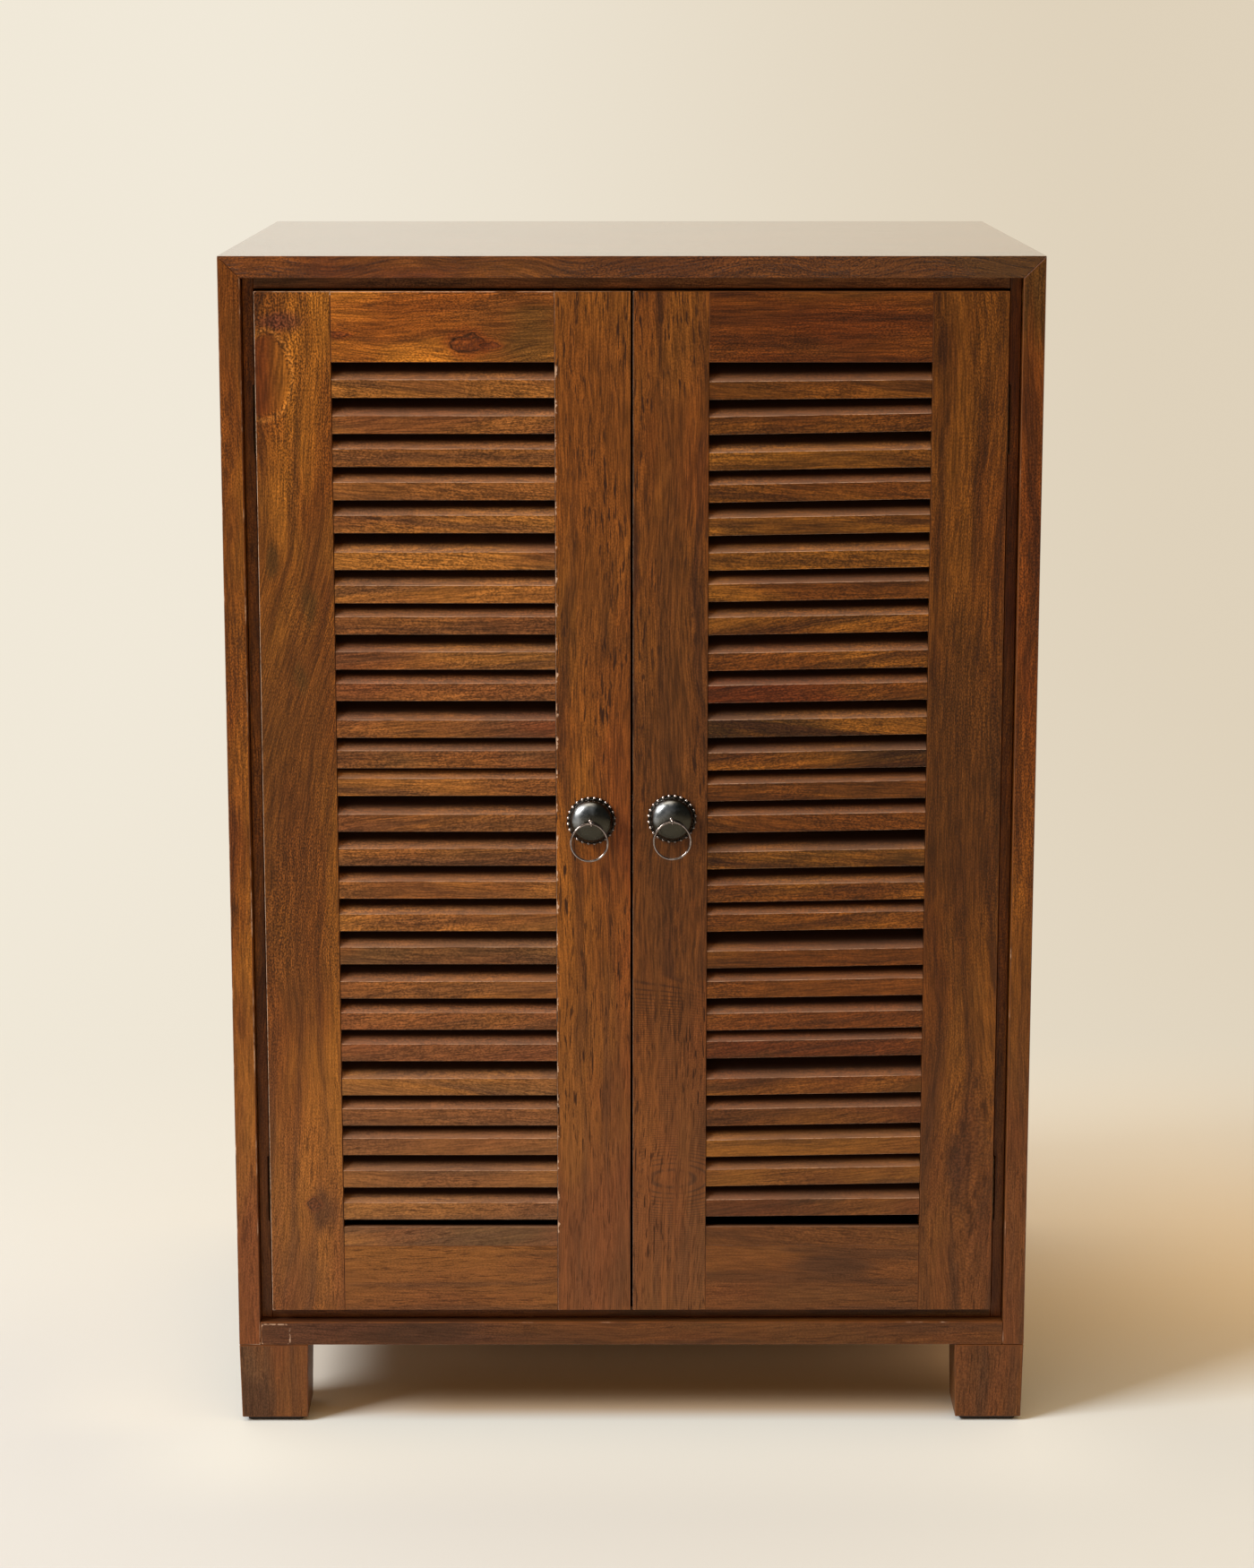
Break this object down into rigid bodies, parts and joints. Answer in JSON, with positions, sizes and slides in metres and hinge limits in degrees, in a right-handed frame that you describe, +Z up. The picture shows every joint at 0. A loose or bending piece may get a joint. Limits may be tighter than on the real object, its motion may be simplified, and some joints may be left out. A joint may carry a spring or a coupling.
{
  "type": "louvred door cabinet",
  "caption": "Free-standing wooden cabinet with paired louvred doors, beaded ring pulls, an inner shelf and block feet.",
  "frame": {"origin": "on the floor, under the centre of the cabinet's overall box, pulls included", "axes": "+Z up, doors and pulls face -Y, +X towards the right door as seen from the front"},
  "size_m": [0.61, 0.5265, 0.903],
  "materials": {
    "case_wood": "satin brown stain and clear varnish",
    "door_wood": "satin brown stain and clear varnish",
    "slat_wood": "satin brown stain and clear varnish",
    "inner_wood": "thin brown stain",
    "hinge_metal": "dark bronzed",
    "pull_metal": "dark gunmetal plating, polished",
    "strike_steel": "zinc plated",
    "catch_plastic": "moulded, matte",
    "pad_rubber": "matte"
  },
  "bodies": {
    "case": {"top_panel": "case_wood", "bottom_panel": "case_wood", "left_side_panel": "case_wood", "right_side_panel": "case_wood", "back_panel": "inner_wood", "left_channel_strip": "inner_wood", "right_channel_strip": "inner_wood", "top_channel_strip": "inner_wood", "bottom_channel_strip": "inner_wood", "shelf": "inner_wood", "left_shelf_cleat": "inner_wood", "right_shelf_cleat": "inner_wood", "left_magnet_catch": "catch_plastic", "right_magnet_catch": "catch_plastic", "front_left_foot": "case_wood", "front_right_foot": "case_wood", "rear_left_foot": "case_wood", "rear_right_foot": "case_wood", "front_left_foot_pad": "pad_rubber", "front_right_foot_pad": "pad_rubber", "rear_left_foot_pad": "pad_rubber", "rear_right_foot_pad": "pad_rubber", "left_lower_hinge_case_leaf": "hinge_metal", "left_upper_hinge_case_leaf": "hinge_metal", "right_lower_hinge_case_leaf": "hinge_metal", "right_upper_hinge_case_leaf": "hinge_metal", "left_lower_hinge_pin": "hinge_metal", "left_upper_hinge_pin": "hinge_metal", "right_lower_hinge_pin": "hinge_metal", "right_upper_hinge_pin": "hinge_metal"},
    "left_door": {"left_door_hinge_stile": "door_wood", "left_door_meeting_stile": "door_wood", "left_door_top_rail": "door_wood", "left_door_bottom_rail": "door_wood", "left_door_upper_slats": "slat_wood", "left_door_middle_slats": "slat_wood", "left_door_lower_slats": "slat_wood", "left_lower_hinge_door_leaf": "hinge_metal", "left_upper_hinge_door_leaf": "hinge_metal", "left_strike_plate": "strike_steel", "left_pull_rosette": "pull_metal", "left_pull_eye_bolt": "pull_metal", "left_pull_nut": "strike_steel"},
    "right_door": {"right_door_hinge_stile": "door_wood", "right_door_meeting_stile": "door_wood", "right_door_top_rail": "door_wood", "right_door_bottom_rail": "door_wood", "right_door_upper_slats": "slat_wood", "right_door_middle_slats": "slat_wood", "right_door_lower_slats": "slat_wood", "right_lower_hinge_door_leaf": "hinge_metal", "right_upper_hinge_door_leaf": "hinge_metal", "right_strike_plate": "strike_steel", "right_pull_rosette": "pull_metal", "right_pull_eye_bolt": "pull_metal", "right_pull_nut": "strike_steel"},
    "left_ring": {"left_pull_ring": "pull_metal"},
    "right_ring": {"right_pull_ring": "pull_metal"}
  },
  "joints": [
    {"name": "left_door_hinge", "type": "hinge", "parent": "case", "child": "left_door", "pos_m": [-0.2788, -0.2377, 0.484], "axis": [0, 0, -1], "range_deg": [0, 90]},
    {"name": "right_door_hinge", "type": "hinge", "parent": "case", "child": "right_door", "pos_m": [0.2788, -0.2377, 0.484], "axis": [0, 0, 1], "range_deg": [0, 90]},
    {"name": "left_ring_swing", "type": "hinge", "parent": "left_door", "child": "left_ring", "pos_m": [-0.0305, -0.2609, 0.4795], "axis": [-1, 0, 0], "range_deg": [-25, 205]},
    {"name": "right_ring_swing", "type": "hinge", "parent": "right_door", "child": "right_ring", "pos_m": [0.0305, -0.2609, 0.481], "axis": [-1, 0, 0], "range_deg": [-25, 205]}
  ]
}
